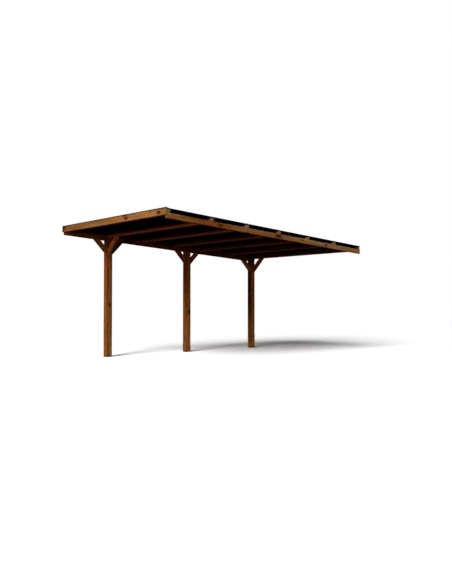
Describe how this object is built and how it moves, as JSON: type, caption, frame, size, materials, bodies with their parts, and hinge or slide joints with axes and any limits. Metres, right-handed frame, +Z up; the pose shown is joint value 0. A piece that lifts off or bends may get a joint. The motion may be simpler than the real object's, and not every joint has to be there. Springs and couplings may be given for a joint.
{
  "type": "lean-to carport",
  "caption": "Lean-to timber carport: a row of square posts with knee braces, beams, level cross rafters, fascia boards and black trapezoid roof sheets on a slight fall.",
  "frame": {"origin": "centre of the middle post's foot, on the ground", "axes": "+X along the carport, down the fall of the roof; -Y towards the wall that carries the wall beam; +Z up"},
  "size_m": [5.0733, 3.152, 2.4955],
  "materials": {
    "post_timber": "brown impregnated softwood",
    "beam_timber": "brown impregnated softwood",
    "rafter_timber": "brown impregnated softwood",
    "brace_timber": "brown impregnated softwood",
    "fascia_timber": "brown impregnated softwood",
    "roof_sheet": "matt black"
  },
  "bodies": {
    "root": {"high_post": "post_timber", "middle_post": "post_timber", "low_post": "post_timber", "post_beam": "beam_timber", "wall_beam": "beam_timber", "rafter_1": "rafter_timber", "rafter_2": "rafter_timber", "rafter_3": "rafter_timber", "rafter_4": "rafter_timber", "rafter_5": "rafter_timber", "rafter_6": "rafter_timber", "rafter_7": "rafter_timber", "high_post_brace_left": "brace_timber", "high_post_brace_right": "brace_timber", "high_post_brace_inner": "brace_timber", "middle_post_brace_left": "brace_timber", "middle_post_brace_right": "brace_timber", "low_post_brace_left": "brace_timber", "low_post_brace_inner": "brace_timber", "high_fascia": "fascia_timber", "front_fascia": "fascia_timber", "roof_sheet_1": "roof_sheet", "roof_sheet_2": "roof_sheet", "roof_sheet_3": "roof_sheet"}
  },
  "joints": []
}
